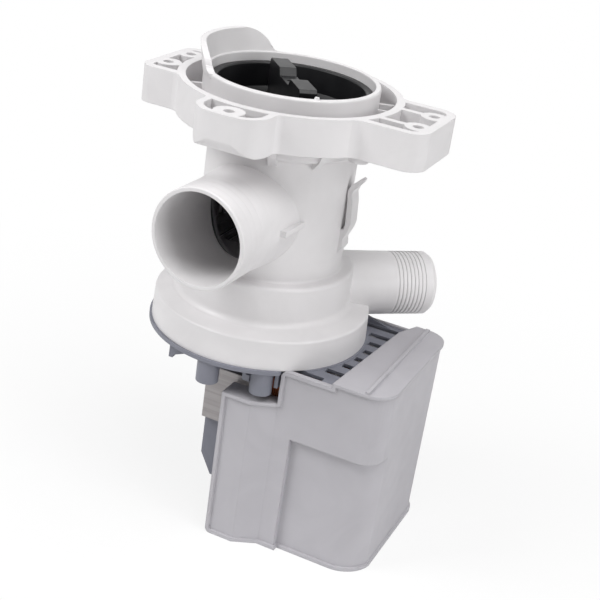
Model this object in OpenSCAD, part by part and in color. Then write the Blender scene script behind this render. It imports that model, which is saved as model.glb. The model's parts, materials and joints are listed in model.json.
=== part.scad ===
// Washing machine drain pump: a filter housing with inlet and outlet spigots,
// a permanent magnet motor on its lower end and a drip cover round the motor.
// Origin at the centre of the four flange holes, in the flange's front face.
// The pieces are drawn round the pump axis and moved to the origin at the end.
// +Z points out of the filter opening, +X to the closed side of the drip cover,
// the inlet spigot points to -Y.  All sizes in millimetres.

/* [Neck and filter opening] */
// Outer radius of the neck
neck_r = 37; // [35:0.1:39]
// Wall of the neck
neck_wall = 2.4; // [2.2:0.1:2.6]
// Height of the neck rim above the flange face
rim_up = 4.3; // [3:0.1:6]
// Height of the drip lip above the flange face
lip_top = 14.2; // [13:0.1:16]
// Half width of the drip lip at its root
lip_half_w = 29.4; // [29:0.1:31]
// Outward lean of the drip lip at its top
lip_flare = 2.4; // [0.5:0.1:3]

/* [Mounting flange] */
// Thickness of the flange
flange_h = 15.5; // [14.5:0.5:17]
// Outer radius of the flange ring
flange_r = 47; // [46.5:0.5:48]
// Width of the wall outside the ring groove
ring_wall = 3; // [2.5:0.5:3.5]
// Reach of the right ear beyond its holes
ear_right_end = 6.9; // [6.5:0.1:9]
// Reach of the left ear beyond its holes
ear_left_end = 6.5; // [6.2:0.1:9]
// Reach of the front lobe from the axis
lobe_y = 61.7; // [61:0.5:64]
// Distance of the right hole pair from the axis
hole_right_x = 61.1; // [60:0.1:62]
// Distance of the left hole pair from the axis
hole_left_x = 51.5; // [50:0.1:52]
// Distance between the two holes of a pair
hole_pair = 19.2; // [18:0.1:20]
// Radius of the flange screw holes
flange_hole_r = 2.2; // [1.8:0.1:2.6]

/* [Housing] */
// Outer radius of the filter chamber
body_r = 32.1; // [30:0.1:33]
// Wall of the filter chamber and volute
wall = 2.3; // [2:0.1:2.6]
// Outer radius of the volute
volute_r = 38; // [36:0.1:40]
// Flare of the lower skirt beyond the volute
skirt_out = 10.4; // [10:0.1:11]
// Depth of the volute shoulder below the flange face
shoulder_z = 76.2; // [74:0.1:80]
// Height of the volute and skirt, from the foot to the shoulder
volute_h = 32.7; // [32.2:0.1:35]

/* [Hose spigots] */
// Outer radius of the inlet spigot
inlet_r = 21.05; // [20:0.05:21.5]
// Wall of the inlet spigot
inlet_wall = 1.8; // [1.6:0.1:2.2]
// Distance of the inlet mouth from the axis
inlet_reach = 66; // [62:1:74]
// Height of the inlet axis above the volute shoulder
inlet_up = 26; // [25:0.1:28]
// Direction of the inlet, seen from the filter side
inlet_angle = -92; // [-96:1:-90]
// Outer radius of the outlet spigot
outlet_r = 14.5; // [13.5:0.1:14.7]
// Wall of the outlet spigot
outlet_wall = 2; // [1.6:0.1:2.4]
// Distance of the outlet end from the axis
outlet_reach = 77.5; // [74:0.5:86]
// Direction of the outlet, seen from the filter side
outlet_angle = 42; // [38:1:46]

/* [Filter] */
// Width of the grip bar across the cap
grip_w = 7.3; // [6:0.1:9]
// Length of the grip bar
grip_l = 49; // [44:1:52]
// Direction of the grip bar
grip_angle = -50; // [-90:5:0]
// Turn that unlocks the filter
unlock_turn = 90; // [90:1:90]
// Rise of the filter over that turn
unlock_rise = 2.5; // [2:0.1:2.7]

/* [Motor] */
// Outer radius of the rotor magnet
magnet_r = 12.9; // [12:0.1:13.4]
// Gap between the magnet and the rotor can
magnet_gap = 1.2; // [1:0.1:1.4]
// Length of the rotor magnet
magnet_l = 27; // [24:1:30]
// Radius of the rotor shaft
shaft_r = 2.5; // [2:0.1:2.8]
// Thickness of the lamination stack
stack_h = 26; // [24:0.5:28]
// Half width of the lamination stack
stack_front = 31; // [30:0.5:33]
// Depth of the stack top below the housing foot
stack_drop = 12.8; // [12.4:0.1:14.8]
// Build-up of each winding
coil_build = 5.5; // [4:0.1:5.7]

/* [Drip cover] */
// Distance of the cover's end wall from the axis
cover_x = 78.3; // [76:0.1:84]
// Distance from the stack to the outside of the cover
cover_side = 7; // [6.5:0.1:9]
// Depth of the cover bottom below the housing foot
cover_drop = 87.8; // [82.8:0.5:95.8]
// Wall of the cover
cover_wall = 1.8; // [1.5:0.1:1.9]

/* [Hidden] */
$fn = 96;
eps = 0.01;
slip = 0.3;
run_fit = 0.05;

neck_in = neck_r - neck_wall;
ear_right_x = hole_right_x + ear_right_end;
ear_left_x = hole_left_x + ear_left_end;
skirt_r = volute_r + skirt_out;
foot_z = shoulder_z + volute_h;
inlet_z = shoulder_z - inlet_up;
stack_z = foot_z + stack_drop;
cover_half_y = stack_front + cover_side;
cover_z = foot_z + cover_drop;
groove_r = flange_r - ring_wall;
groove_floor = 3;
ear_right_r = 8.5;
ear_left_r = 6;
ear_wall = 3.8;
ear_front = 24.5;
ear_back = 20;
left_front = 26;
left_back = 17;
lobe_half = 15.5;
lobe_r = 11;
hole_mid_x = (hole_right_x - hole_left_x) / 2;
hole_mid_y = -3.5;
hole_boss_r = 5.6;
hole_rib = 3;
pocket_floor = 3;
lobe_hole_y = 6.2 - lobe_y;
draft = 6;
lobe_round = 5.5;
step_z = 21.7;
seat_z = 13.2;
seal_bore_z = 20;
seal_bore_r = neck_in - 2.2;
chamber_r = body_r - wall;
chamber_floor = shoulder_z - wall;
eye_r = 13;
volute_in = volute_r - wall - 0.3;
skirt_in = skirt_r - 9;
skirt_taper = 0.6;
skirt_fillet = 3;
shoulder_round = 1.6;
ceiling_z = shoulder_z + 3.3;
skirt_top_z = foot_z - 13.2;
inlet_in = inlet_r - inlet_wall;
inlet_rib_end = body_r + 5.4;
outlet_in = outlet_r - outlet_wall;
outlet_z = foot_z - 18.4;

ring_groove_r = skirt_in + 1.9;
ring_groove_h = 2.5;
seal_d = 2.3;
housing_screw_r = skirt_r - 4.7;
housing_screw_angles = [-92, -61, 94, 180];
screw_r = 1.75;
screw_pilot = 1.6;
screw_l = 17;
screw_head_r = 3.5;
screw_head_h = 2.2;

lug_angles = [30, 150, 270];
lug_w = 22;
lug_h = 2.4;
lug_z = 9.6;
lug_r = neck_in - slip;
cap_skirt_r = neck_in - 1.6;
ledge_r = cap_skirt_r + 0.4;
ledge_top = 4.2;
ledge_steps = 4;
gate_clear = 2.5;
gate_mark_angle = -49.5;
cap_top = 0.6;
cap_rim_r = neck_in - 0.4;
cap_rim_h = 4;
dish_r = neck_in - 3.6;
dish_floor = 13;
plug_r = seal_bore_r - 0.5;
plug_end = 19.2;
plug_in = min(neck_in - 6.2, chamber_r - 1.4);
oring_r = 1.1;
oring_mid = seal_bore_r - run_fit - oring_r;
oring_z = 16.8;
grip_top = rim_up + 0.3;
saddle_half = 8;
saddle_drop = 3.1;

strainer_r = plug_in - 0.2;
strainer_wall = 1.8;
strainer_end = chamber_floor - 1.4;
strainer_top = 15.4;
window_top = 27;
window_floor = strainer_end - 6;
window_count = 8;
key_w = 3;
key_reach = chamber_r - 0.5;
key_h = 18;
key_angle = 180;

bead = 0.9;
bead_w = 1.8;
plate_r = skirt_r + 1;
plate_h = 1.8;
plate_low = foot_z + plate_h;
grille_top = foot_z + 0.3;
grille_x = cover_x - 12.3;
grille_y = cover_half_y - bead - cover_wall - slip;
slot_w = 3.6;
slot_pitch = 9;
slot_first = slot_w / 2 - grille_y;
slot_count = floor((2 * grille_y - slot_w) / slot_pitch) + 1;
slot_end = grille_x - 6;
short_slot_end = grille_x - 19.5;
slot_start_r = plate_r + 0.8;
slot_start_x = 28.5;
boss_r = 4.9;
boss_low = foot_z + 12.5;
post_x = 3;
post_y = stack_front - 8.7;
post_r = 3.6;
end_post_r = 5.4;
can_wall = 1.1;
can_in = magnet_r + magnet_gap;
can_r = can_in + can_wall;
can_floor = 1.6;
register_h = 2.6;
register_r = skirt_in - 0.6;
register_wall = 4;

stack_low = stack_z + stack_h;
pole_bore_r = can_r + 0.4;
stack_left = 8;
leg_out = stack_front - 6.5;
leg_in = leg_out - 10.5;
leg_start = 17;
yoke_start = 46;
yoke_end = 60;
bobbin_wall = 1.2;
bobbin_flange = 1.5;
bobbin_gap = 0.2;
bobbin_rim = 0.6;
bobbin_front = leg_out + bobbin_gap + bobbin_wall + coil_build + bobbin_rim;
bobbin_x = leg_start + 0.5;
bobbin_l = yoke_start - leg_start - 1;

magnet_z = stack_z - 1;
rotor_sleeve_r = 6;
front_bearing_z = foot_z + 2.1;
bearing_l = 6;
bearing_r = 5;
rear_bearing_z = magnet_z + magnet_l + 2.2;
can_low = rear_bearing_z + bearing_l + can_floor;
holder_z = foot_z + 0.8;
holder_low = foot_z + 9.5;
washer_h = 0.6;

impeller_r = 22;
impeller_low = foot_z - 9.7;
impeller_top = impeller_low - 14;
shaft_top = impeller_top + 0.6;
shaft_low = rear_bearing_z + bearing_l - slip;
hub_r = 11;
hub_cavity_r = 9.2;
hub_roof = 2.4;
nose_r = 7;
nose_h = 2.6;
blade_count = 6;
blade_t = 1.8;
web_h = 1.5;
dog_r = 5;
dog_tooth_r = 8.6;
dog_low = impeller_low - 1;
dog_top = impeller_top + 3.4;
tooth_w = 40;
pad_w = 8;
pad_gap = 1.5;
dog_rest = tooth_w + pad_w + pad_gap;

end_cover_half = 28;
end_cover_low = stack_low + 30;
end_cover_wall = 2;
end_step_z = stack_low + 8.2;
end_chamfer = 5.6;
terminal_y = 13;
terminal_z = stack_low + 17;
terminal_pitch = 10;
tab_w = 6.3;
tab_t = 0.8;

cover_left = 6.2;
bulge_y = cover_half_y + 5.5;
bulge_x = 19.5;
bulge_end = 29.5;
cover_corner_front = 11;
cover_corner_back = 10.5;
rim_z = foot_z - 0.2;
shelf_z = foot_z + 15.8;
shelf_back = max(stack_front, bobbin_front) + slip;
step_x = 29.7;
ledge_z = foot_z - 2.2;
ledge_front_x = cover_x - 25.7;
ledge_back = [cover_x - 20.9, cover_half_y - 11.4];
ledge_chamfer = [cover_x - 16.4, cover_half_y - 0.2];
ledge_rib_x = cover_x - 10.5;
ledge_rib_w = 1.8;
ledge_rib_h = 1;
recess_x = 37.5;
recess_z = shelf_z + 15.3;
recess_d = 3.5;
panel_r = 2.6;
recess_corner = 14.5;
rail_x = 38;
rail_h = 1.4;

// Moves a piece from the pump axis to the part's frame, centred on the flange holes
module placed() {
    translate([-hole_mid_x, -hole_mid_y, 0])
        children();
}

// Points of an arc, from angle a0 to a1
function arc(cx, cy, r, a0, a1, n = 8) =
    [for (i = [0:n]) [cx + r * cos(a0 + (a1 - a0) * i / n), cy + r * sin(a0 + (a1 - a0) * i / n)]];

// Part of a ring between two radii, standing on z
module ring_part(r_in, r_out, z, h, from, width) {
    translate([0, 0, z])
        rotate([0, 0, from])
            rotate_extrude(angle = width)
                translate([r_in, 0])
                    square([r_out - r_in, h]);
}

// Plain ring between two radii, standing on z
module ring(r_in, r_out, z, h) {
    translate([0, 0, z])
        difference() {
            cylinder(r = r_out, h = h);
            translate([0, 0, -1])
                cylinder(r = r_in, h = h + 2);
        }
}

// Rectangle with round corners
module round_box_2d(x0, x1, y0, y1, r) {
    translate([x0 + r, y0])
        square([x1 - x0 - 2 * r, y1 - y0]);
    translate([x0, y0 + r])
        square([x1 - x0, y1 - y0 - 2 * r]);
    for (x = [x0 + r, x1 - r])
        for (y = [y0 + r, y1 - r])
            translate([x, y])
                circle(r = r);
}

// Inside fillet between the flange ring and a straight edge at height edge.
// The cutting circle is a hair too big, so that it crosses both instead of touching them.
module ring_fillet_2d(edge, r) {
    cy = edge + r;
    cx = sqrt(pow(flange_r + r, 2) - pow(cy, 2));
    k = (flange_r - 0.5) / (flange_r + r);
    difference() {
        polygon([[cx, edge - 1], [cx, edge], [cx * k, cy * k], [cx * k - 2, edge - 1]]);
        translate([cx, cy])
            circle(r = r + 0.03);
    }
}

// Flange

module ear_outline_2d(reach, front, back, corner_r) {
    round_box_2d(flange_r * 0.6, reach, -front, back, corner_r);
    ring_fillet_2d(back, ear_left_r);
    mirror([0, 1])
        ring_fillet_2d(front, ear_left_r);
}

module lobe_outline_2d() {
    round_box_2d(-lobe_half, lobe_half, -lobe_y, -flange_r * 0.7, lobe_r);
    for (side = [0, 1])
        mirror([side, 0])
            rotate([0, 0, -90])
                ring_fillet_2d(lobe_half, 4);
}

module flange_outline_2d() {
    circle(r = flange_r);
    ear_outline_2d(ear_right_x, ear_front, ear_back, ear_right_r);
    mirror([1, 0])
        ear_outline_2d(ear_left_x, left_front, left_back, ear_left_r);
    lobe_outline_2d();
}

module flange_hole_places() {
    for (x = [hole_right_x, -hole_left_x])
        for (side = [-1, 1])
            translate([x, hole_mid_y + side * hole_pair / 2, 0])
                children();
}

module ear_pockets_2d(reach, hole_x, front, back, corner_r) {
    difference() {
        round_box_2d(flange_r * 0.8, reach - ear_wall, ear_wall - front, back - ear_wall, corner_r - ear_wall);
        circle(r = flange_r + 0.6);
        for (side = [-1, 1])
            translate([hole_x, hole_mid_y + side * hole_pair / 2]) {
                circle(r = hole_boss_r);
                translate([-hole_x, -hole_rib / 2])
                    square([hole_x, hole_rib]);
            }
    }
}

module lobe_pockets_2d() {
    difference() {
        round_box_2d(-lobe_half + 3, lobe_half - 3, -lobe_y + 3, -flange_r * 0.7, lobe_r - 3);
        circle(r = flange_r + 0.8);
        translate([0, lobe_hole_y])
            circle(r = hole_boss_r + 0.7);
    }
}

module flange_pockets() {
    translate([0, 0, -flange_h + pocket_floor])
        linear_extrude(flange_h) {
            ear_pockets_2d(ear_right_x, hole_right_x, ear_front, ear_back, ear_right_r);
            mirror([1, 0])
                ear_pockets_2d(ear_left_x, hole_left_x, left_front, left_back, ear_left_r);
            lobe_pockets_2d();
        }
}

// What a round of radius r takes off an edge along X that has its corner at the origin.
// The cylinder is a hair too big, so that it crosses both faces instead of touching them.
module edge_round(r, l) {
    translate([0, -1, -1])
        difference() {
            cube([l, r + 1, r + 1]);
            translate([-1, r + 1, r + 1])
                rotate([0, 90, 0])
                    cylinder(r = r + 0.03, h = l + 2);
        }
}

// Takes the draft off the left side of the lobe and rounds its lower edges
module lobe_draft() {
    translate([-lobe_half, 0, 0])
        rotate([0, -draft, 0])
            translate([-20, -lobe_y - 20, -flange_h - 10])
                cube([20, lobe_y - flange_r + 19.5, flange_h + 14]);
    translate([-lobe_half - 5, -lobe_y, -flange_h])
        edge_round(lobe_round, 2 * lobe_half + 10);
    translate([flange_h * tan(draft) - lobe_half, -flange_r - 1.2, -flange_h])
        rotate([0, 0, -90])
            edge_round(lobe_round, lobe_y - flange_r + 3);
}

// Housing outside

housing_outside = concat(
    [[0, rim_up - 0.6]],
    [[neck_in + 0.6, rim_up]],
    arc(neck_r - 0.8, rim_up - 0.8, 0.8, 90, 0, 3),
    [[neck_r, -step_z + 1], [neck_r - 1, -step_z], [body_r + 1.2, -step_z - 0.4]],
    [[body_r, -step_z - 1.6]],
    arc(body_r + 1.2, -shoulder_z + 1.2, 1.2, 180, 270, 3),
    arc(volute_r - shoulder_round, -shoulder_z - shoulder_round, shoulder_round, 90, 0, 5),
    arc(volute_r + skirt_fillet, -skirt_top_z + 1.6 + skirt_fillet, skirt_fillet, 180, 270, 8),
    arc(skirt_r - skirt_taper - 1.2, -skirt_top_z - 1.2, 1.2, 75, 3, 4),
    [[skirt_r, -foot_z], [0, -foot_z]]);

// Housing inside: filter seat, chamber, eye and volute
housing_inside = [
    [0, rim_up + 1], [neck_in + 0.6, rim_up + 1], [neck_in, rim_up - 0.4],
    [neck_in, -seat_z], [seal_bore_r, -seat_z - 0.8], [seal_bore_r, -seal_bore_z],
    [chamber_r, -seal_bore_z], [chamber_r, -chamber_floor], [eye_r, -chamber_floor],
    [eye_r, -ceiling_z], [volute_in - 4, -ceiling_z], [volute_in, -ceiling_z - 4],
    [volute_in, -skirt_top_z + 1], [skirt_in, -skirt_top_z - 3],
    [skirt_in, -foot_z + ring_groove_h], [ring_groove_r, -foot_z + ring_groove_h],
    [ring_groove_r, -foot_z - 1], [0, -foot_z - 1]];

// The lip is a slice of the neck wall that stands up towards -X
module drip_lip() {
    half_flat = lip_half_w - 11.9;
    shoulder = min(9.5, lip_top - rim_up);
    foot = lip_half_w - half_flat - shoulder;
    tall = lip_top + 2;
    spread = lip_flare * tall / lip_top;
    side = concat(
        [[-lip_half_w, rim_up - 2]],
        arc(-lip_half_w, rim_up + foot, foot, -90, 0, 4),
        arc(-half_flat, lip_top - shoulder, shoulder, 180, 90, 14),
        arc(half_flat, lip_top - shoulder, shoulder, 90, 0, 14),
        arc(lip_half_w, rim_up + foot, foot, 180, 270, 4),
        [[lip_half_w, rim_up - 2]]);
    intersection() {
        difference() {
            cylinder(r1 = neck_r, r2 = neck_r + spread, h = tall);
            cylinder(r1 = neck_in, r2 = neck_in + spread, h = tall);
        }
        rotate([90, 0, -90])
            linear_extrude(neck_r + 8)
                polygon(side);
    }
}

// Spigot along +X of its own frame, with fine grip rings: each ring is the edge left by a
// slanting groove of the given depth, so that nothing stands out over the spigot's radius
module spigot(r, reach, rings, first, pitch, depth, chamfer) {
    grooves = [for (i = [0:rings - 1], p = [[0, 0], [-depth, pitch * 0.6], [0, pitch * 0.6]])
        [r + p[0], first + i * pitch + p[1]]];
    rotate([0, 90, 0])
        rotate_extrude()
            polygon(concat(
                [[0, 0], [r, 0]],
                grooves,
                [[r, reach - chamfer], [r - chamfer * 0.7, reach], [0, reach]]));
}

module inlet_frame() {
    translate([0, 0, -inlet_z])
        rotate([0, 0, inlet_angle])
            children();
}

module outlet_frame() {
    translate([0, 0, -outlet_z])
        rotate([0, 0, outlet_angle])
            children();
}

module inlet_outside() {
    inlet_frame() {
        spigot(inlet_r, inlet_reach, 4, inlet_reach - 17, 4.2, 0.15, 0.6);
        rotate([0, 90, 0])
            translate([0, 0, body_r * 0.7])
                cylinder(r1 = inlet_r + 1.8, r2 = inlet_r, h = body_r * 0.3 + 12);
    }
}

module outlet_outside() {
    outlet_frame() {
        spigot(outlet_r, outlet_reach, 8, outlet_reach - 19.5, 1.85, 0.25, 1.8);
        rotate([0, 90, 0])
            cylinder(r1 = outlet_r + 0.8, r2 = outlet_r, h = skirt_r + 1.6);
    }
}

// Ribs under the flange, beside the inlet and on the body
module housing_ribs() {
    side = [[body_r - 1.5, -flange_h], [neck_r + 4, -flange_h], [neck_r + 1, -step_z + 1],
            [body_r + 1.2, -step_z - 3.6], [body_r - 1.5, -step_z - 3.6]];
    for (rib = [[-72.5, 3.6], [-41.5, 2.4]])
        rotate([0, 0, rib[0]])
            translate([0, rib[1] / 2, 0])
                rotate([90, 0, 0])
                    linear_extrude(rib[1])
                        polygon(side);
    translate([flange_r - 5.5, -20, -flange_h - 2.2])
        cylinder(r = 4, h = 3);
    inlet_frame()
        translate([0, inlet_r - 1, -0.4])
            cube([inlet_rib_end, 4.2, 2.4]);
}

// Moulded cable clip on the right side of the body: a springy strip with a hooked arm
module cable_clip() {
    strip = [[body_r - 1, -55], [body_r + 1.2, -54.8], [body_r + 1.6, -52], [body_r + 1, -42.6],
             [body_r + 0.5, -38.4], [body_r + 0.7, -36.6], [body_r + 3.2, -36.6], [body_r + 2.6, -38.6],
             [body_r + 3.4, -42.6], [body_r + 4, -51.8], [body_r + 3.4, -54.6], [body_r + 1.4, -59.4],
             [body_r + 1.8, -63], [body_r - 1, -68]];
    arm = [[body_r + 0.7, -36.7], [body_r + 1.7, -34.8], [body_r + 6, -30.6], [body_r + 7, -31],
           [body_r + 6.6, -32.4], [body_r + 3.2, -36.7]];
    translate([0, 5, 0])
        rotate([90, 0, 0])
            linear_extrude(7)
                polygon(strip);
    translate([0, 1, 0])
        rotate([90, 0, 0])
            linear_extrude(3)
                polygon(arm);
}

// Locking ledges in the neck, each stepped like a ramp above a lug's path
module locking_ledges() {
    gate = lug_w / 2 + gate_clear;
    span = 120 - 2 * gate;
    step_w = span / ledge_steps;
    start = unlock_turn - 120 + gate;
    for (a = lug_angles)
        difference() {
            ring_part(ledge_r, neck_in + 0.5, -lug_z, lug_z - ledge_top, a + start, span);
            for (i = [0:ledge_steps - 1]) {
                from = start + i * step_w;
                passed = min(unlock_turn, from + step_w + lug_w / 2);
                under = lug_z - unlock_rise * passed / unlock_turn - slip;
                ring_part(ledge_r - 1, neck_in + 2, -lug_z - 1, lug_z + 1 - under,
                          a + from - (i == 0 ? 5 : 0), span - i * step_w + 10);
            }
        }
}

module strainer_guides() {
    for (side = [-1, 1])
        rotate([0, 0, key_angle])
            translate([strainer_r + slip, side * (key_w / 2 + 1 + slip) - 1, -chamber_floor - 1])
                cube([chamber_r - strainer_r - slip + 1, 2, chamber_floor - 48]);
}

module groove_ribs() {
    for (a = [12.5, 27, -150, 112])
        rotate([0, 0, a])
            translate([neck_r - 1, -1, -flange_h + groove_floor - 1])
                cube([groove_r - neck_r + 2, 2, flange_h - groove_floor - 2.5]);
}

module pump_housing() {
    placed() color("#dddbdc") {
        difference() {
            union() {
                difference() {
                    union() {
                        rotate_extrude()
                            polygon(housing_outside);
                        inlet_outside();
                        outlet_outside();
                        housing_ribs();
                    }
                    rotate_extrude()
                        polygon(housing_inside);
                    inlet_frame()
                        rotate([0, 90, 0])
                            cylinder(r = inlet_in, h = inlet_reach + 1);
                    outlet_frame()
                        rotate([0, 90, 0])
                            translate([0, 0, volute_in * 0.6])
                                cylinder(r = outlet_in, h = outlet_reach);
                }
                difference() {
                    translate([0, 0, -flange_h])
                        linear_extrude(flange_h)
                            flange_outline_2d();
                    translate([0, 0, -flange_h - 1])
                        cylinder(r = neck_r - 0.5, h = flange_h + 2);
                    ring(neck_r, groove_r, -flange_h + groove_floor, flange_h);
                    flange_pockets();
                    lobe_draft();
                }
                drip_lip();
                groove_ribs();
                locking_ledges();
                strainer_guides();
                cable_clip();
            }
            translate([0, 0, -flange_h - 1]) {
                flange_hole_places()
                    cylinder(r = flange_hole_r, h = flange_h + 2);
                translate([0, lobe_hole_y, 0])
                    cylinder(r = flange_hole_r, h = flange_h + 2);
            }
            for (a = housing_screw_angles)
                rotate([0, 0, a])
                    translate([housing_screw_r, 0, -foot_z - 1])
                        cylinder(r = screw_r, h = screw_l - 7);
        }
        rotate([0, 0, gate_mark_angle])
            translate([neck_in + 0.65, 0, rim_up - 1])
                cylinder(r1 = 1.4, r2 = 0.9, h = 1.9, $fn = 24);
    }
}

// Filter

module filter_cap() {
    outline = [
        [0, -dish_floor], [dish_r - 5, -dish_floor], [dish_r - 1.5, -dish_floor + 3.5],
        [dish_r, cap_top - 0.5], [dish_r + 0.5, cap_top], [cap_rim_r - 0.4, cap_top],
        [cap_rim_r, cap_top - 0.4], [cap_rim_r, cap_top - cap_rim_h],
        [cap_skirt_r, cap_top - cap_rim_h], [cap_skirt_r, -lug_z - lug_h - 0.6],
        [plug_r, -lug_z - lug_h - 0.6], [plug_r, -oring_z + oring_r],
        [oring_mid - oring_r, -oring_z + oring_r], [oring_mid - oring_r, -oring_z - oring_r],
        [plug_r, -oring_z - oring_r], [plug_r, -plug_end], [plug_in, -plug_end],
        [plug_in, -dish_floor - 2.2], [0, -dish_floor - 2.2]];
    half = grip_l / 2;
    bar = [[-half + 1, -dish_floor - 1], [half - 1, -dish_floor - 1], [half, grip_top - 1.2],
           [half - 1.2, grip_top], [saddle_half + 1, grip_top], [saddle_half - 1.2, grip_top - saddle_drop],
           [1.2 - saddle_half, grip_top - saddle_drop], [-saddle_half - 1, grip_top],
           [1.2 - half, grip_top], [-half, grip_top - 1.2]];
    placed() color("#1c1c20") {
        rotate_extrude()
            polygon(outline);
        for (a = lug_angles)
            ring_part(cap_skirt_r - 0.5, lug_r, -lug_z - lug_h, lug_h, a - lug_w / 2, lug_w);
        difference() {
            rotate([90, 0, grip_angle])
                translate([0, 0, -grip_w / 2])
                    linear_extrude(grip_w)
                        polygon(bar);
            for (side = [-1, 1])
                rotate([0, 0, grip_angle + 90])
                    translate([side * 1.6, 0, grip_top - saddle_drop - 2])
                        cylinder(r = 0.8, h = 4);
        }
    }
}

module filter_seal() {
    placed() color("#2b2b2e")
        rotate_extrude()
            translate([oring_mid, -oring_z])
                circle(r = oring_r, $fn = 32);
}

module lint_strainer() {
    placed() color("#1c1c20") {
        difference() {
            ring(strainer_r - strainer_wall, strainer_r, -strainer_end, strainer_end - strainer_top);
            inlet_frame()
                rotate([0, 90, 0])
                    cylinder(r = inlet_in + 0.6, h = strainer_r + 4);
            for (i = [0:window_count - 1])
                rotate([0, 0, inlet_angle + 54 + i * 36])
                    translate([strainer_r - 5, -4.5, -window_floor])
                        cube([10, 9, window_floor - window_top]);
        }
        difference() {
            translate([0, 0, -strainer_end])
                cylinder(r = strainer_r - 0.5, h = 2);
            for (i = [-4:4])
                translate([i * 5 - 1.4, -12, -strainer_end - 1])
                    cube([2.8, 24, 4]);
        }
        rotate([0, 0, key_angle])
            translate([strainer_r - 1, -key_w / 2, -strainer_end])
                cube([key_reach - strainer_r + 1, key_w, key_h]);
    }
}

// Impeller and rotor

module impeller() {
    placed() color("#e7e5e1") {
        difference() {
            union() {
                translate([0, 0, -impeller_low])
                    cylinder(r = hub_r, h = impeller_low - impeller_top);
                translate([0, 0, -impeller_top - 0.5])
                    cylinder(r1 = nose_r, r2 = shaft_r, h = nose_h + 0.5);
            }
            translate([0, 0, -impeller_low - 1])
                cylinder(r = hub_cavity_r, h = impeller_low - impeller_top - hub_roof + 1);
            translate([0, 0, -impeller_low])
                cylinder(r = shaft_r + run_fit, h = impeller_low - shaft_top + slip);
        }
        ring(shaft_r + run_fit, shaft_r + 2, -dog_top - 2.1, dog_top + 2.1 - impeller_top - hub_roof + 0.5);
        ring(hub_r - 0.5, impeller_r, -impeller_low, web_h);
        for (i = [0:blade_count - 1])
            rotate([0, 0, i * 360 / blade_count])
                translate([hub_r - 1, -blade_t / 2, -impeller_low + 0.5])
                    cube([impeller_r - hub_r + 0.6, blade_t, impeller_low - impeller_top - 1]);
        ring_part(dog_r + 0.5, hub_cavity_r + 0.5, -impeller_low + 1, impeller_low - impeller_top - 2,
                  -tooth_w / 2, tooth_w);
    }
}

module impeller_bumper() {
    placed() color("#3a3a3c")
        for (from = [-tooth_w / 2 - pad_w, tooth_w / 2])
            ring_part(dog_r + 0.6, hub_cavity_r, -impeller_low + 1.2, impeller_low - impeller_top - 4, from, pad_w);
}

module drive_dog() {
    placed() color("#c9c4b8")
        difference() {
            union() {
                translate([0, 0, -dog_low])
                    cylinder(r = dog_r, h = dog_low - dog_top - 2.4);
                ring_part(shaft_r + 1, dog_tooth_r, -dog_low, dog_low - dog_top - 2.4, dog_rest - tooth_w / 2, tooth_w);
            }
            translate([0, 0, -dog_low - 1])
                cylinder(r = shaft_r, h = 20);
        }
}

module rotor_shaft() {
    placed() color("#c8cacc")
        translate([0, 0, -shaft_low])
            cylinder(r = shaft_r, h = shaft_low - shaft_top);
}

module rotor_magnet() {
    placed() color("#3b3b3d")
        ring(rotor_sleeve_r, magnet_r, -magnet_z - magnet_l, magnet_l);
}

module rotor_sleeve() {
    placed() color("#d8d2c0") {
        ring(shaft_r, rotor_sleeve_r, -magnet_z - magnet_l, magnet_l);
        ring(shaft_r, magnet_r - 1, -magnet_z, 1);
        ring(shaft_r, magnet_r - 1, -magnet_z - magnet_l - 1, 1);
    }
}

module front_bearing() {
    placed() color("#6f6a62")
        ring(shaft_r + run_fit, bearing_r, -front_bearing_z - bearing_l, bearing_l);
}

module rear_bearing() {
    placed() color("#6f6a62")
        ring(shaft_r + run_fit, bearing_r, -rear_bearing_z - bearing_l, bearing_l);
}

module bearing_holder() {
    placed() color("#d8d2c0")
        difference() {
            union() {
                translate([0, 0, -holder_low])
                    cylinder(r = can_in, h = holder_low - holder_z);
                translate([0, 0, -foot_z])
                    cylinder(r = bearing_r + 4, h = 5);
                translate([0, 0, -holder_z])
                    cylinder(r = bearing_r + 4, h = holder_z - foot_z);
            }
            translate([0, 0, -front_bearing_z - bearing_l])
                cylinder(r = bearing_r, h = 40);
            translate([0, 0, -holder_low - 1])
                cylinder(r = shaft_r + 1, h = 40);
        }
}

module shaft_seal() {
    placed() color("#2b2b2e")
        ring(shaft_r + run_fit, bearing_r, -foot_z, 4);
}

module rear_bearing_mount() {
    placed() color("#2b2b2e")
        difference() {
            translate([0, 0, -can_low + can_floor])
                cylinder(r = can_in - 1, h = can_low - can_floor - rear_bearing_z);
            translate([0, 0, -can_low])
                cylinder(r = bearing_r, h = 20);
        }
}

module thrust_washers() {
    placed() color("#e4e2da") {
        ring(shaft_r + run_fit, bearing_r - 0.5, -front_bearing_z - bearing_l - 1.4 - washer_h, washer_h);
        ring(shaft_r + run_fit, bearing_r - 0.5, -rear_bearing_z + 0.1, washer_h);
    }
}

module volute_seal() {
    placed() color("#2b2b2e")
        rotate_extrude()
            translate([ring_groove_r - seal_d / 2 - 0.05, -foot_z + seal_d / 2 + 0.05])
                circle(r = seal_d / 2, $fn = 32);
}

// Motor carrier: round plate, rotor can, screw bosses and the vented grille

module grille_2d() {
    difference() {
        translate([20, -grille_y])
            square([grille_x - 20, 2 * grille_y]);
        for (i = [0:slot_count - 1]) {
            y = slot_first + i * slot_pitch;
            inner = i == 0 ? slot_start_x : sqrt(pow(slot_start_r, 2) - pow(y, 2));
            outer = i == 0 ? short_slot_end : slot_end;
            translate([inner, y - slot_w / 2])
                square([outer - inner, slot_w]);
        }
    }
}

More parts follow.
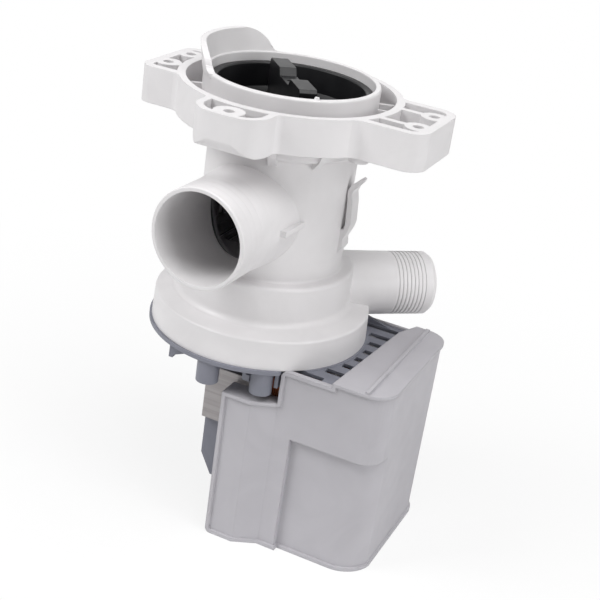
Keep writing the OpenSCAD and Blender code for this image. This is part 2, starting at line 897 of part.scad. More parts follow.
module carrier_hooks() {
    hook_y = plate_r - 8.1;
    for (side = [0, 1])
        mirror([0, side, 0]) {
            translate([0, -hook_y, 0])
                rotate([90, 0, 0])
                    linear_extrude(1.8)
                        polygon([[-21, -plate_low + 1], [-21.2, -plate_low - 6.6], [-19.4, -plate_low - 6.6],
                                 [-18.6, -plate_low - 5], [-13, -plate_low - 2.6], [-12, -plate_low + 1]]);
        }
    translate([13.4, -hook_y, -plate_low - 6.4])
        cube([1.6, 7, 7]);
    translate([13.4, -hook_y, -plate_low - 6.4])
        cube([3.4, 2.6, 3]);
    translate([27, -bobbin_front - 6, -plate_low - 7])
        cube([1.6, 5.6, 7.5]);
}

module grille_back_wall() {
    high_x = 38;
    low_x = grille_x - 14.5;
    translate([0, grille_y - 1.6, 0])
        rotate([90, 0, 0])
            linear_extrude(1.5)
                polygon([[high_x, -plate_low], [low_x, -plate_low], [low_x, -grille_top], [high_x, -grille_top + 3.2]]);
}

module motor_carrier() {
    placed() color("#7c828e")
        difference() {
            union() {
                translate([0, 0, -plate_low])
                    cylinder(r = plate_r, h = plate_h);
                translate([0, 0, -plate_low])
                    linear_extrude(plate_low - grille_top)
                        grille_2d();
                difference() {
                    grille_back_wall();
                    translate([0, 0, -plate_low])
                        cylinder(r = skirt_r + 0.4, h = 30);
                }
                ring(register_r - register_wall, register_r, -foot_z - 0.5, register_h);
                translate([0, 0, -can_low])
                    cylinder(r = can_r, h = can_low - plate_low + 1);
                for (a = housing_screw_angles)
                    rotate([0, 0, a])
                        translate([housing_screw_r, 0, -boss_low])
                            cylinder(r = boss_r, h = boss_low - plate_low + 0.5);
                for (side = [-1, 1])
                    translate([post_x, side * post_y, -stack_z])
                        cylinder(r = post_r, h = stack_z - plate_low + 0.5);
                carrier_hooks();
            }
            translate([0, 0, -can_low + can_floor])
                cylinder(r = can_in, h = can_low);
            translate([step_x - slip, -plate_r - 1, -plate_low - 1])
                cube([30, plate_r + 1 - grille_y, plate_h + 2]);
            translate([slot_start_x, slot_first - slot_w / 2, -plate_low - 1])
                cube([short_slot_end - slot_start_x, slot_w, plate_h + 2]);
            for (a = housing_screw_angles)
                rotate([0, 0, a])
                    translate([housing_screw_r, 0, 0]) {
                        translate([0, 0, -boss_low - 1])
                            cylinder(r = screw_r + 0.3, h = 30);
                        translate([0, 0, -boss_low - 1])
                            cylinder(r = screw_head_r + 0.4, h = screw_head_h + 2.5);
                    }
            for (side = [-1, 1])
                translate([post_x, side * post_y, -stack_z - 1])
                    cylinder(r = screw_r, h = 9);
        }
}

// Stator

module leg_mirror() {
    children();
    mirror([0, 1, 0])
        children();
}

module stator_core() {
    outline = [[-13, -16], [-stack_left, -stack_front], [leg_start - 3, -stack_front],
               [leg_start, -leg_out], [yoke_end, -leg_out], [yoke_end, leg_out], [leg_start, leg_out],
               [leg_start - 3, stack_front], [-stack_left, stack_front], [-13, 16]];
    placed() color("#96928d")
        difference() {
            translate([0, 0, -stack_low])
                linear_extrude(stack_h)
                    difference() {
                        polygon(outline);
                        translate([-30, -4])
                            square([60, 8]);
                        translate([13, -leg_in])
                            square([yoke_start - 13, 2 * leg_in]);
                        circle(r = pole_bore_r);
                    }
            for (side = [-1, 1])
                translate([post_x, side * post_y, -stack_low - 1])
                    cylinder(r = screw_r + 0.3, h = stack_h + 2);
        }
}

bobbin_y_in = leg_in - bobbin_gap;
bobbin_y_out = leg_out + bobbin_gap;
bobbin_z_up = -stack_z + bobbin_gap;
bobbin_z_low = -stack_low - bobbin_gap;

// Box round the front leg, grown by g on all four sides
module leg_box(x, l, g) {
    translate([x, -bobbin_y_out - g, bobbin_z_low - g])
        cube([l, bobbin_y_out - bobbin_y_in + 2 * g, bobbin_z_up - bobbin_z_low + 2 * g]);
}

module bobbin() {
    color("#e9e6dd")
        difference() {
            union() {
                leg_box(bobbin_x, bobbin_l, bobbin_wall);
                for (x = [bobbin_x, bobbin_x + bobbin_l - bobbin_flange])
                    leg_box(x, bobbin_flange, bobbin_wall + coil_build + bobbin_rim);
            }
            leg_box(bobbin_x - 1, bobbin_l + 2, 0);
        }
}

module winding() {
    color("#a8552a")
        difference() {
            leg_box(bobbin_x + bobbin_flange, bobbin_l - 2 * bobbin_flange, bobbin_wall + coil_build);
            leg_box(bobbin_x, bobbin_l, bobbin_wall);
        }
}

module front_bobbin() {
    placed()
        bobbin();
}

module rear_bobbin() {
    placed()
        mirror([0, 1, 0])
            bobbin();
}

module front_winding() {
    placed()
        winding();
}

module rear_winding() {
    placed()
        mirror([0, 1, 0])
            winding();
}

// Lower motor cover with the terminal socket

function end_profile(g) = [
    [-stack_left + 0.4 + g, -stack_low], [leg_start - 1 - g, -stack_low], [leg_start - 1 - g, -end_step_z - g],
    [yoke_start + 1 + g, -end_step_z - g], [yoke_start + 1 + g, -stack_low], [yoke_end - g, -stack_low],
    [yoke_end - g, -end_cover_low + g], [-stack_left + 0.4 + end_chamfer + g * 0.5, -end_cover_low + g],
    [-stack_left + 0.4 + g, -end_cover_low + 10]];

module end_block(g, half) {
    translate([0, half, 0])
        rotate([90, 0, 0])
            linear_extrude(2 * half)
                polygon(end_profile(g));
}

module socket_frame() {
    translate([-stack_left + 0.4, terminal_y, -terminal_z])
        children();
}

module motor_end_cover() {
    placed() color("#7c828e")
        difference() {
            union() {
                difference() {
                    end_block(0, end_cover_half);
                    end_block(end_cover_wall, end_cover_half - end_cover_wall);
                }
                for (side = [-1, 1])
                    translate([post_x, side * post_y, -end_cover_low + 0.5])
                        cylinder(r = end_post_r, h = end_cover_low - stack_low - 0.5);
                socket_frame()
                    translate([-10, -12, -6])
                        cube([11, 24, 12]);
            }
            translate([0, 0, -can_low - slip])
                cylinder(r = can_r + slip, h = can_low);
            socket_frame()
                translate([-11, -10.4, -4.9])
                    cube([9.5, 20.8, 9.8]);
            socket_frame()
                for (side = [-1, 1])
                    translate([-3, side * terminal_pitch / 2 - tab_w / 2, -tab_t / 2])
                        cube([8, tab_w, tab_t]);
            for (side = [-1, 1])
                translate([post_x, side * post_y, -end_cover_low - 1])
                    cylinder(r = screw_r + 0.3, h = 40);
            for (side = [-1, 1])
                translate([post_x, side * post_y, -end_cover_low - 1])
                    cylinder(r = screw_head_r + 0.3, h = screw_head_h + 1.6);
        }
}

module terminal_tabs() {
    placed() color("#c9b27a")
        socket_frame()
            for (side = [-1, 1])
                translate([-9, side * terminal_pitch / 2 - tab_w / 2, -tab_t / 2])
                    cube([13, tab_w, tab_t]);
}

// Pan head screw with its head below z and its shank up
module screw(z_head, l) {
    translate([0, 0, z_head])
        difference() {
            union() {
                cylinder(r = screw_r, h = l);
                translate([0, 0, -screw_head_h])
                    cylinder(r1 = screw_head_r - 0.5, r2 = screw_head_r, h = screw_head_h);
            }
            translate([0, 0, -screw_head_h - 1])
                for (a = [0, 90])
                    rotate([0, 0, a])
                        translate([-2, -0.45, 0])
                            cube([4, 0.9, 2.2]);
        }
}

module core_screws() {
    placed() color("#b9bbbd")
        for (side = [-1, 1])
            translate([post_x, side * post_y, 0])
                screw(-end_cover_low + screw_head_h + 0.6, end_cover_low - screw_head_h - 0.6 - stack_z + 7);
}

module housing_screws() {
    placed() color("#b9bbbd")
        for (a = housing_screw_angles)
            rotate([0, 0, a])
                translate([housing_screw_r, 0, 0])
                    screw(-boss_low + screw_head_h + 1.5, screw_l);
}

// Drip cover

// Plan of the cover, moved in by g on every walled side
function cover_plan(g) = concat(
    [[cover_left - (g > bead ? 5 : 0), cover_half_y - g], [cover_left - (g > bead ? 5 : 0), -bulge_y + g],
     [bulge_x + g * 0.3, -bulge_y + g], [bulge_end + g * 0.3, -cover_half_y + g]],
    arc(cover_x - cover_corner_front, -cover_half_y + cover_corner_front, cover_corner_front - g, -90, 0, 10),
    arc(cover_x - cover_corner_back, cover_half_y - cover_corner_back, cover_corner_back - g, 0, 90, 10));

module cover_block(g, z_low, z_up) {
    translate([0, 0, -z_low])
        linear_extrude(z_low - z_up)
            polygon(cover_plan(g));
}

// The sunk lower part of the front panel, which runs out in the corner
module cover_recess(g) {
    face_y = -cover_half_y + recess_d + g;
    side_x = cover_x - bead + 0.3 - g;
    r = recess_corner - g;
    translate([0, 0, -cover_z - 5])
        linear_extrude(cover_z + 5 - recess_z + g)
            difference() {
                translate([recess_x - g, -bulge_y - 5])
                    square([60, bulge_y + 5 + face_y + r]);
                translate([recess_x - g - 1, face_y])
                    square([side_x - r - recess_x + g + 1, 60]);
                translate([side_x - r, face_y + r])
                    circle(r = r);
            }
}

// Front left corner is cut down to the shelf below the screw bosses
module cover_step(x_end, z_end) {
    translate([-10, -bulge_y - 5, -z_end])
        cube([10 + x_end, bulge_y + 5 + cover_half_y * 0.6, 60]);
}

module cover_ledge() {
    intersection() {
        union() {
            cover_block(0, ledge_z + 1.5, ledge_z);
            cover_block(bead, rim_z + 0.2, ledge_z + 0.5);
        }
        translate([0, 0, -rim_z - 1])
            linear_extrude(10)
                polygon([[ledge_front_x, -60], [ledge_front_x, -cover_half_y], ledge_back, ledge_chamfer,
                         [ledge_chamfer[0], 60], [120, 60], [120, -60]]);
    }
    translate([ledge_rib_x - ledge_rib_w / 2, -cover_half_y + 0.8, -ledge_z - 0.5])
        cube([ledge_rib_w, 2 * cover_half_y - 2, ledge_rib_h + 0.5]);
}

// Outline of the front panel up to the ledge, and the same moved in by the width of the bead
panel_outline = [
    [cover_left, -cover_z], [cover_left, -shelf_z], [step_x, -shelf_z], [step_x, -rim_z],
    [ledge_front_x, -rim_z], [ledge_front_x, 0.6 - rim_z], [ledge_front_x + bead_w, 0.6 - rim_z],
    [ledge_front_x + bead_w, -cover_z]];
panel_inside = concat(
    arc(cover_left + panel_r, -cover_z + panel_r, panel_r - bead_w, 270, 180),
    [[cover_left + bead_w, -shelf_z - bead_w]],
    arc(step_x, -shelf_z, bead_w, 270, 360),
    arc(step_x + panel_r, -rim_z - panel_r, panel_r - bead_w, 180, 90),
    [[ledge_front_x + 5, -rim_z - bead_w], [ledge_front_x + 5, -cover_z + bead_w]]);

// Raised bead round the edges of the front panel
module cover_beads() {
    intersection() {
        difference() {
            cover_block(0, cover_z, rim_z - 0.6);
            cover_block(bead + 0.5, cover_z + 1, rim_z - 2);
            cover_recess(-bead);
        }
        translate([0, -cover_half_y / 2, 0])
            rotate([90, 0, 0])
                linear_extrude(cover_half_y)
                    difference() {
                        polygon(panel_outline);
                        polygon(panel_inside);
                    }
    }
}

// Rounds the two outer corners of the panel, over the whole depth of the cover
module panel_corners() {
    translate([cover_left, 60, -cover_z])
        rotate([0, 0, -90])
            edge_round(panel_r, 120);
    translate([step_x, cover_half_y * 0.6, -rim_z])
        mirror([0, 0, 1])
            rotate([0, 0, -90])
                edge_round(panel_r, cover_half_y * 2);
}

// Cover without its ledge, beads and rails
module cover_walls() {
    difference() {
        union() {
            difference() {
                cover_block(bead, cover_z, rim_z);
                cover_recess(0);
                cover_step(step_x, shelf_z);
            }
            difference() {
                cover_block(0, cover_z, cover_z - bead_w);
                cover_recess(-bead);
            }
        }
        difference() {
            cover_block(bead + cover_wall, cover_z - cover_wall, rim_z - 5);
            cover_recess(cover_wall);
            intersection() {
                cover_step(step_x + cover_wall, shelf_z + cover_wall);
                translate([-10, -60, -shelf_z - cover_wall])
                    cube([10 + step_x + cover_wall, 60 - shelf_back, 60]);
            }
        }
        intersection() {
            translate([0, 0, -plate_low - slip])
                cylinder(r = plate_r + slip, h = 20);
            translate([-60, 0, -plate_low - slip])
                cube([120, 60, 20]);
        }
    }
}

module drip_cover() {
    placed() color("#b2b1b5")
        difference() {
            union() {
                cover_walls();
                cover_ledge();
                cover_beads();
                for (side = [0, 1])
                    mirror([0, side, 0])
                        translate([rail_x, grille_y - 1.2, -plate_low - slip - rail_h])
                            cube([cover_x - rail_x - cover_corner_front, bead + cover_wall, rail_h]);
            }
            panel_corners();
        }
}

pump_housing();
filter_cap();
lint_strainer();
filter_seal();
impeller();
impeller_bumper();
drive_dog();
rotor_shaft();
rotor_magnet();
rotor_sleeve();
front_bearing();
rear_bearing();
bearing_holder();
shaft_seal();
rear_bearing_mount();
thrust_washers();
volute_seal();
motor_carrier();
stator_core();
front_bobbin();
rear_bobbin();
front_winding();
rear_winding();
motor_end_cover();
terminal_tabs();
core_screws();
housing_screws();
drip_cover();
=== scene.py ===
# %% [markdown]
# # A washing machine drain pump, dressed for its portrait
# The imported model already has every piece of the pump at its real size.  This
# lesson gives each piece the surface that the real one has, winds the two motor
# coils turn by turn, and sets up a small studio with a camera.
#
# The model is loaded first.  Nothing in it is moved or reshaped: a piece that
# needs more detail than its solid has gets a new mesh that stands for it.

import json
import math

import bpy
from mathutils import Matrix, Vector

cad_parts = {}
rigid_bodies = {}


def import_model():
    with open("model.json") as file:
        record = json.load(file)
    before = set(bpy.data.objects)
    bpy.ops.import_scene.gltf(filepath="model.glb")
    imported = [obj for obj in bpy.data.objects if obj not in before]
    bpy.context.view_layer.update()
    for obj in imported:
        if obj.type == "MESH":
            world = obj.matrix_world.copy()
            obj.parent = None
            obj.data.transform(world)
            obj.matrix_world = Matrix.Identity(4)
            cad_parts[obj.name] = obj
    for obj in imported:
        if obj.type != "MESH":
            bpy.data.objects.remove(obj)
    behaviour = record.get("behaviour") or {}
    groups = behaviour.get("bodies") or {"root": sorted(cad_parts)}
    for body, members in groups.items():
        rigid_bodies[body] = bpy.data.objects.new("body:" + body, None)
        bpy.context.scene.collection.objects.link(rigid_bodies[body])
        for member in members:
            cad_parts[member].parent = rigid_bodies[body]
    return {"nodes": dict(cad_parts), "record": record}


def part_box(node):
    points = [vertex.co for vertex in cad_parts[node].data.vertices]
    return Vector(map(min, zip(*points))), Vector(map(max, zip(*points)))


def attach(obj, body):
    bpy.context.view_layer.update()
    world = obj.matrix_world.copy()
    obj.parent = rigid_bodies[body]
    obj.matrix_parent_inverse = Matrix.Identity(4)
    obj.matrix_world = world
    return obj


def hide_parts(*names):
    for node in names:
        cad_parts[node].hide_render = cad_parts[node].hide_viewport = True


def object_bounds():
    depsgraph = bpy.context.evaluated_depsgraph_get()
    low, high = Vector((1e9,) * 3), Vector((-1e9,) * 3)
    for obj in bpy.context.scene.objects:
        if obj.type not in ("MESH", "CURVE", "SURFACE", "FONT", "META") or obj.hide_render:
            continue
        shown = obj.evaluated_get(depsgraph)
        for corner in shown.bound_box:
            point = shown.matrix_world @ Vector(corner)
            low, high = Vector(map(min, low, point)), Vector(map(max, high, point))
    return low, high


for leftover in list(bpy.data.objects):
    bpy.data.objects.remove(leftover)

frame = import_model()
cad_low, cad_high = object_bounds()
print("pump box in mm:", [round(v * 1000, 1) for v in cad_high - cad_low])

# %% [markdown]
# ## Units and colours
# Blender works in metres, and moulded parts are easier to think of in
# millimetres, so MM turns one into the other.  Colours are written as the hex
# values that a screen shows.  Cycles wants them linear, so one function turns
# them, and every colour below goes through it.

# %% Units and colours
MM = 0.001


def colour(hex_code):
    """Linear RGBA for Cycles, from the hex value that a screen shows."""
    channels = [int(hex_code[i:i + 2], 16) / 255 for i in (1, 3, 5)]
    linear = [c / 12.92 if c <= 0.04045 else ((c + 0.055) / 1.055) ** 2.4 for c in channels]
    return (*linear, 1.0)


print("housing grey is", [round(c, 3) for c in colour("#e0dedf")])

# %% [markdown]
# ## One helper for shader nodes
# A material is a tree of small steps.  Written out in full each node takes many
# lines, so this helper adds one node, sets what it is given, and links any
# socket that is passed as a value.  It is used for every node, and knows
# nothing about any one kind.

# %% Node helper


def add_node(tree, kind, sockets=None, **settings):
    """Adds a node; sockets holds values, or the output sockets of other nodes."""
    node = tree.nodes.new(kind)
    for name, value in settings.items():
        setattr(node, name, value)
    for name, value in (sockets or {}).items():
        if isinstance(value, bpy.types.NodeSocket):
            tree.links.new(value, node.inputs[name])
        else:
            node.inputs[name].default_value = value
    return node


def new_material(name):
    """An empty material with its surface shader and its output in place."""
    material = bpy.data.materials.new(name)
    material.use_nodes = True
    tree = material.node_tree
    tree.nodes.clear()
    surface = add_node(tree, "ShaderNodeBsdfPrincipled")
    add_node(tree, "ShaderNodeOutputMaterial", {"Surface": surface.outputs["BSDF"]})
    return material, tree, surface


def object_place(tree, stretch=(1, 1, 1)):
    """Object coordinates, stretched along each axis, for patterns that stay put."""
    where = add_node(tree, "ShaderNodeTexCoord")
    turned = add_node(tree, "ShaderNodeMapping", {
        "Vector": where.outputs["Object"],
        "Scale": stretch,
    })
    return turned.outputs["Vector"]


def two_tones(tree, fac, pale, deep):
    """A colour between two hex values, chosen by a value from 0 to 1."""
    ramp = add_node(tree, "ShaderNodeValToRGB", {"Fac": fac})
    ramp.color_ramp.elements[0].color = colour(pale)
    ramp.color_ramp.elements[1].color = colour(deep)
    return ramp.outputs["Color"]


# %% [markdown]
# ## Moulded plastic and rubber
# Most of the pump is injection moulded: polypropylene for the housing and the
# drip cover, a glass filled grade for the motor carrier, and a black grade for
# the filter.  The mould is spark eroded, which leaves a very fine grain, and
# the melt flows in from a gate, which leaves faint pale and dark swirls a few
# centimetres wide.  Every edge has a small radius, because a mould is never
# perfectly sharp.
#
# The real grain is about 0.05 mm and can't show at this size, so it is drawn
# some ten times coarser and very shallow.  The edge radius could be modelled
# with a Bevel modifier, but a Bevel node bends the light at an edge in the same
# way and leaves the solid alone, so the node is used.

# %% Moulded plastic and rubber
SWIRL_MM = 28
PATCH_MM = 9


def moulded(name, pale, deep, rough, grain, edge_mm, shine=0.5):
    """Spark eroded moulding with faint flow swirls and softened edges."""
    grain_mm, grain_depth_mm = grain
    material, tree, surface = new_material(name)
    place = object_place(tree)
    flow = add_node(tree, "ShaderNodeTexNoise", {
        "Vector": place,
        "Scale": 1 / (SWIRL_MM * MM),
        "Detail": 3.0,
        "Distortion": 1.4,
    })
    swirl = add_node(tree, "ShaderNodeMapRange", {
        "Value": flow.outputs["Fac"],
        "From Min": 0.32,
        "From Max": 0.68,
    })
    tree.links.new(two_tones(tree, swirl.outputs["Result"], pale, deep), surface.inputs["Base Color"])
    patches = add_node(tree, "ShaderNodeTexNoise", {
        "Vector": place,
        "Scale": 1 / (PATCH_MM * MM),
        "Detail": 2.0,
    })
    polish = add_node(tree, "ShaderNodeMapRange", {
        "Value": patches.outputs["Fac"],
        "From Min": 0.3,
        "From Max": 0.7,
        "To Min": rough - 0.05,
        "To Max": rough + 0.05,
    })
    tree.links.new(polish.outputs["Result"], surface.inputs["Roughness"])
    texture = add_node(tree, "ShaderNodeTexNoise", {
        "Vector": place,
        "Scale": 1 / (grain_mm * MM),
        "Detail": 2.0,
    })
    edge = add_node(tree, "ShaderNodeBevel", {"Radius": edge_mm * MM}, samples=6)
    relief = add_node(tree, "ShaderNodeBump", {
        "Strength": 1.0,
        "Distance": grain_depth_mm * MM,
        "Height": texture.outputs["Fac"],
        "Normal": edge.outputs["Normal"],
    })
    tree.links.new(relief.outputs["Normal"], surface.inputs["Normal"])
    surface.inputs["Specular IOR Level"].default_value = shine
    return material


# Each grain is its width and its depth in millimetres
FINE_GRAIN = (0.6, 0.010)
COARSE_GRAIN = (0.7, 0.016)

finishes = {
    # The pale housing: close to white, so its shape shows only by soft shading
    "housing_plastic": moulded("light_grey_polypropylene", "#e0dedf", "#dbd9da", 0.40, FINE_GRAIN, 0.45),
    # A step darker and duller than the housing, with slightly rounder edges
    "cover_plastic": moulded("satin_grey_polypropylene", "#b6b4b9", "#b1afb4", 0.48, COARSE_GRAIN, 0.90),
    # Glass fibres near the surface break up the shine of the blue grey
    "carrier_plastic": moulded("blue_grey_glass_filled", "#7e7f8a", "#747680", 0.45, COARSE_GRAIN, 0.35),
    # Nearly black, with only a weak shine, so that the dish stays dark
    "filter_plastic": moulded("black_polypropylene", "#131315", "#0f0f11", 0.36, FINE_GRAIN, 0.40, 0.3),
    # Seen only through the inlet, a middle grey between housing and cap: pale plastic drawn darker, as
    # painted shade for the inside of the inlet
    "strainer_plastic": moulded("inlet_shade_grey_polypropylene", "#8f8e91", "#87868a", 0.42, FINE_GRAIN, 0.30),
    # Uncoloured acetal has the warm white of the resin itself
    "impeller_plastic": moulded("natural_white_acetal", "#e8e5dc", "#dedacf", 0.38, FINE_GRAIN, 0.25),
    # Rubber scatters what little light it throws back
    "seal_rubber": moulded("black_nitrile_rubber", "#2e2e30", "#252527", 0.70, COARSE_GRAIN, 0.20, 0.35),
}
print("mouldings:", sorted(finishes))

# %% [markdown]
# ## Bare and plated metal
# The shaft is ground, which leaves fine rings round it.  The screws are zinc
# plated, the bearings are pressed from bronze powder, the magnet is a sintered
# ferrite and the terminals are tinned brass.  All of them are a metal tone with
# a fine pattern; what differs is how far that pattern is stretched, because a
# grinding mark is long and thin and a powder grain is round.
#
# The powder grains and grinding rings are really a few hundredths of a
# millimetre.  They are drawn at a third of a millimetre so that they show.

# %% Metals
ROUND_MARKS = (1, 1, 1)
RINGS_ROUND_Z = (0.05, 0.05, 1)


def worked_metal(name, pale, deep, rough, marks, stretch=ROUND_MARKS, metallic=1.0):
    """Metal with marks of one size, round or stretched along an axis."""
    mark_mm, mark_depth_mm = marks
    material, tree, surface = new_material(name)
    place = object_place(tree, stretch)
    worn = add_node(tree, "ShaderNodeTexNoise", {
        "Vector": place,
        "Scale": 1 / (mark_mm * MM),
        "Detail": 3.0,
    })
    tree.links.new(two_tones(tree, worn.outputs["Fac"], pale, deep), surface.inputs["Base Color"])
    polish = add_node(tree, "ShaderNodeMapRange", {
        "Value": worn.outputs["Fac"],
        "From Min": 0.3,
        "From Max": 0.7,
        "To Min": rough - 0.06,
        "To Max": rough + 0.06,
    })
    tree.links.new(polish.outputs["Result"], surface.inputs["Roughness"])
    edge = add_node(tree, "ShaderNodeBevel", {"Radius": 0.15 * MM}, samples=4)
    relief = add_node(tree, "ShaderNodeBump", {
        "Strength": 1.0,
        "Distance": mark_depth_mm * MM,
        "Height": worn.outputs["Fac"],
        "Normal": edge.outputs["Normal"],
    })
    tree.links.new(relief.outputs["Normal"], surface.inputs["Normal"])
    surface.inputs["Metallic"].default_value = metallic
    return material


# Ground along its length in a lathe: the rings catch the light across the shaft
finishes["shaft_steel"] = worked_metal(
    "ground_stainless_steel", "#d6d7d8", "#babcbf", 0.22, (0.3, 0.004), RINGS_ROUND_Z)
# Zinc dulls to a cloudy grey
finishes["screw_steel"] = worked_metal("zinc_plated_steel", "#c9cbce", "#a9acb2", 0.34, (0.5, 0.006))
# Pressed powder: brown, dull and visibly grainy
finishes["bearing_bronze"] = worked_metal("sintered_bronze", "#9a7c56", "#75593a", 0.50, (0.35, 0.020))
# Ferrite is a ceramic, so it is dark and hardly metallic
finishes["magnet_ferrite"] = worked_metal(
    "sintered_ferrite", "#434346", "#343437", 0.58, (0.35, 0.015), metallic=0.2)
# Thin tin lets the yellow of the brass through
finishes["tab_brass"] = worked_metal("tinned_brass", "#d2c08d", "#b9a268", 0.28, (0.6, 0.004))
print("metals added:", len(finishes), "finishes so far")

# %% [markdown]
# ## The lamination stack
# The stator is a pack of punched steel sheets, half a millimetre thick, riveted
# on top of each other.  Each sheet has its own tone, the gap between two is a
# fine dark line, and a thin varnish keeps the rust away.
#
# Half a millimetre is finer than a pixel of this picture, so the sheets are
# drawn twice as thick.  The height in the stack, divided by that thickness,
# gives a number whose whole part picks the tone of the sheet and whose
# remainder shapes the groove.

# %% Lamination stack


def stacked_sheets(name, pale, deep, sheet_mm, groove_mm):
    """Steel sheets on top of each other, each with its own tone."""
    material, tree, surface = new_material(name)
    where = add_node(tree, "ShaderNodeTexCoord")
    axes = add_node(tree, "ShaderNodeSeparateXYZ", {"Vector": where.outputs["Object"]})
    counted = add_node(tree, "ShaderNodeMath", {
        0: axes.outputs["Z"],
        1: 1 / (sheet_mm * MM),
    }, operation="MULTIPLY")
    sheet = add_node(tree, "ShaderNodeMath", {0: counted.outputs["Value"]}, operation="FLOOR")
    within = add_node(tree, "ShaderNodeMath", {0: counted.outputs["Value"]}, operation="FRACT")
    tone = add_node(tree, "ShaderNodeTexWhiteNoise", {
        "W": sheet.outputs["Value"],
    }, noise_dimensions="1D")
    tree.links.new(two_tones(tree, tone.outputs["Value"], pale, deep), surface.inputs["Base Color"])
    ridge = add_node(tree, "ShaderNodeMath", {
        0: within.outputs["Value"],
        1: 0.5,
    }, operation="PINGPONG")
    rounded = add_node(tree, "ShaderNodeMapRange", {
        "Value": ridge.outputs["Value"],
        "From Max": groove_mm / sheet_mm,
    }, interpolation_type="SMOOTHSTEP")
    relief = add_node(tree, "ShaderNodeBump", {
        "Strength": 1.0,
        "Distance": groove_mm * 0.5 * MM,
        "Height": rounded.outputs["Result"],
    })
    tree.links.new(relief.outputs["Normal"], surface.inputs["Normal"])
    surface.inputs["Roughness"].default_value = 0.42
    surface.inputs["Metallic"].default_value = 0.7
    return material


finishes["lamination_steel"] = stacked_sheets("varnished_steel_sheets", "#a39f9f", "#979393", 1.0, 0.12)
print("made", finishes["lamination_steel"].name)

# %% [markdown]
# ## Enamelled copper wire
# The coils are wound from copper wire with a clear orange-brown enamel.  The
# enamel is a thin glossy coat over bare metal, so the shader's coat does that
# job.  The tone drifts a little from turn to turn, and a shallow relief along
# each turn stands for the strands that are too fine to model.

# %% Enamelled copper
STRAND_MM = 0.3
STRAND_DEPTH_MM = 0.04


def enamelled_copper(name, pale, deep, turn_mm):
    """Copper under a clear coat, with a slightly different tone in each turn."""
    material, tree, surface = new_material(name)
    place = object_place(tree, (1, 0.15, 0.15))
    drift = add_node(tree, "ShaderNodeTexNoise", {
        "Vector": place,
        "Scale": 1 / (turn_mm * 1.5 * MM),
        "Detail": 2.0,
    })
    tree.links.new(two_tones(tree, drift.outputs["Fac"], pale, deep), surface.inputs["Base Color"])
    strands = add_node(tree, "ShaderNodeTexNoise", {
        "Vector": object_place(tree, (1, 0.03, 0.03)),
        "Scale": 1 / (STRAND_MM * MM),
        "Detail": 1.0,
    })
    relief = add_node(tree, "ShaderNodeBump", {
        "Strength": 1.0,
        "Distance": STRAND_DEPTH_MM * MM,
        "Height": strands.outputs["Fac"],
    })
    tree.links.new(relief.outputs["Normal"], surface.inputs["Normal"])
    surface.inputs["Metallic"].default_value = 1.0
    surface.inputs["Roughness"].default_value = 0.32
    surface.inputs["Coat Weight"].default_value = 0.6
    surface.inputs["Coat Roughness"].default_value = 0.15
    return material


TURN_MM = 1.0
finishes["winding_copper"] = enamelled_copper("enamelled_copper_wire", "#9c5630", "#74391a", TURN_MM)
print("made", finishes["winding_copper"].name)

# %% [markdown]
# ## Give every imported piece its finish
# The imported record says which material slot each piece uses.  Reading it here
# keeps the scene in step with the model.

# %% Assign the finishes
slot_of = {row["node"]: row["material_slot"] for row in frame["record"]["subparts"]}
for name, piece in frame["nodes"].items():
    piece.material_slots[0].material = finishes[slot_of[name]]
print(len(slot_of), "pieces have a finish")

# %% [markdown]
# ## Wind the coils
# Each coil is wound on a bobbin round one leg of the stator.  In the packed
# model it is a plain block.  One turn is modelled here as a flat ring with
# round corners and a round outer edge, and an Array modifier lays the turns
# side by side along the leg.  A real wire is a quarter of a millimetre thick
# and can't show, so a turn is drawn a millimetre wide, with a hair's gap to the
# next one so that no two faces lie in the same place.
#
# The ring could be a curve with a round profile.  Starting from a box keeps the
# coil inside the block that it stands for, and gives it a flat inside that sits
# on the bobbin.

# %% Coil helpers
COIL_BUILD_MM = 5.5
CORNER_MM = 3.5
TURN_GAP_MM = 0.03
RIM_SHARE = 0.42
TINY = 1e-6


def start_box(name, low, high):
    """A new box between two corners, in edit mode, with nothing else selected."""
    bpy.ops.object.select_all(action="DESELECT")
    bpy.ops.mesh.primitive_cube_add(size=1, location=(low + high) / 2)
    box = bpy.context.active_object
    box.name = name
    box.scale = high - low
    bpy.ops.object.transform_apply(location=True, rotation=True, scale=True)
    bpy.ops.object.mode_set(mode="EDIT")
    return box


def pick(piece, kind, wanted):
    """Selects only the faces or edges for which wanted() is true, and counts them."""
    bpy.ops.mesh.select_mode(type=kind)
    bpy.ops.mesh.select_all(action="DESELECT")
    bpy.ops.object.mode_set(mode="OBJECT")
    mesh = piece.data
    parts = mesh.polygons if kind == "FACE" else mesh.edges
    count = 0
    for part in parts:
        part.select = bool(wanted(mesh, part))
        count += part.select
    bpy.ops.object.mode_set(mode="EDIT")
    return count


def edge_ends(mesh, edge):
    """The places of an edge's two ends."""
    return [mesh.vertices[i].co for i in edge.vertices]


# %% One turn, then the whole coil


